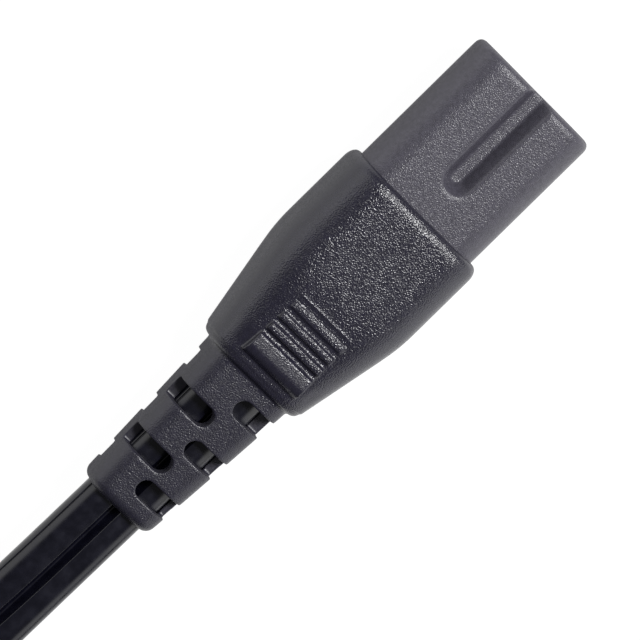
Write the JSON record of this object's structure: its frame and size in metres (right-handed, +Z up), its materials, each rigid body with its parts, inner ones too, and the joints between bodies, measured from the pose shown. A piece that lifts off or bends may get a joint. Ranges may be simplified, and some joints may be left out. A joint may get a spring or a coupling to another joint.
{
  "type": "figure eight power connector",
  "caption": "Moulded figure eight power connector with grip pads and a slotted strain relief, on a flat twin cord that lies in a tied hank and ends in a flat blade plug.",
  "frame": {"origin": "under the middle of the connector, on the surface that it lies on", "axes": "+X along the connector towards the tip of its nose, +Z up"},
  "size_m": [0.2118, 0.0771, 0.0163],
  "materials": {
    "connector_moulding": "fine spark grain",
    "carrier_moulding": "fine grain",
    "contact_metal": "tinned",
    "copper_strand": "bare",
    "cord_sheath": "glossy",
    "tie_strap": "woven",
    "plug_moulding": "fine grain",
    "bridge_moulding": "smooth",
    "blade_metal": "nickel plated"
  },
  "bodies": {
    "root": {"connector_overmould": "connector_moulding", "contact_carrier": "carrier_moulding", "socket_contact_left": "contact_metal", "socket_contact_right": "contact_metal", "conductor_left": "copper_strand", "conductor_right": "copper_strand", "cord_end": "cord_sheath", "cord_lead": "cord_sheath", "cord_hank": "cord_sheath", "cord_tail": "cord_sheath", "hank_tie": "tie_strap", "plug_overmould": "plug_moulding", "plug_bridge": "bridge_moulding", "plug_blade_left": "blade_metal", "plug_blade_right": "blade_metal"}
  },
  "joints": []
}
